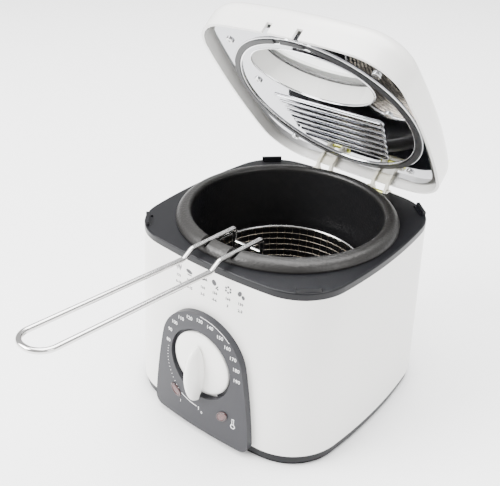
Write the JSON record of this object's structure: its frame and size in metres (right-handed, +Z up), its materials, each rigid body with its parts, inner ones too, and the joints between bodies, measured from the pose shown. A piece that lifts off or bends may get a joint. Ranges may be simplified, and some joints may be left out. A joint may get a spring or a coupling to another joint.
{
  "type": "deep fryer",
  "caption": "Small square electric deep fryer with a round pot, wire basket on a long handle, hinged lid with an oval window, and a front temperature dial.",
  "frame": {"origin": "on the table plane, under the middle of the housing", "axes": "+Z up, front with the dial and basket handle towards -Y, +X to the right seen from the front"},
  "size_m": [0.1916, 0.3549, 0.3017],
  "materials": {
    "white_plastic": "semi-gloss moulded",
    "grey_plastic": "fine satin",
    "panel_grey": "satin",
    "knob_white": "gloss",
    "pot_metal": "dark coated inside, hammered lip",
    "sheet_steel": "plain",
    "mirror_steel": "polished",
    "wire": "bright plated",
    "rubber": "matt",
    "glass": "clear",
    "lamp_red": "translucent",
    "cream_steel": "semi-gloss",
    "brass": "zinc yellow",
    "phenolic": "moulded",
    "filter_felt": "felt"
  },
  "bodies": {
    "housing": {"base_ring": "grey_plastic", "base_plate": "sheet_steel", "rubber_feet": "rubber", "outer_shell": "white_plastic", "screw_pillars": "white_plastic", "base_screws": "sheet_steel", "deck": "grey_plastic", "pot": "pot_metal", "pot_seal": "rubber", "heat_shield": "sheet_steel", "heating_element": "sheet_steel", "element_clamp": "sheet_steel", "clamp_nuts": "sheet_steel", "thermal_cutout": "phenolic", "thermostat_body": "phenolic", "thermostat_bracket": "sheet_steel", "feeler_bulb": "brass", "control_panel": "panel_grey", "power_lens": "lamp_red", "heat_lens": "lamp_red", "power_lamp": "glass", "heat_lamp": "glass", "cord_bushing": "rubber", "terminal_block": "phenolic", "hinge_bracket": "cream_steel", "hinge_pins": "brass"},
    "lid": {"lid_shell": "white_plastic", "lid_plate": "mirror_steel", "lid_gasket": "rubber", "window_frame": "white_plastic", "window_glass": "glass", "window_seal": "rubber", "filter_pad": "filter_felt", "filter_tray": "white_plastic", "lid_screws": "sheet_steel", "hinge_arm_left": "cream_steel", "hinge_arm_right": "cream_steel"},
    "dial": {"knob": "knob_white", "dial_shaft": "sheet_steel", "knob_clip": "sheet_steel"},
    "basket": {"basket_mesh": "wire", "basket_rim": "wire", "basket_foot_ring": "wire", "basket_bracket": "wire", "basket_handle": "wire"}
  },
  "joints": [
    {"name": "lid_hinge", "type": "hinge", "parent": "housing", "child": "lid", "pos_m": [0, 0.0913, 0.145], "axis": [1, 0, 0], "range_deg": [0, 49.6]},
    {"name": "dial_turn", "type": "hinge", "parent": "housing", "child": "dial", "pos_m": [0, -0.1, 0.065], "axis": [0, 1, 0], "range_deg": [0, 275]},
    {"name": "basket_lift", "type": "slide", "parent": "housing", "child": "basket", "axis": [0, 0, 1], "range_m": [0, 0.002]}
  ]
}
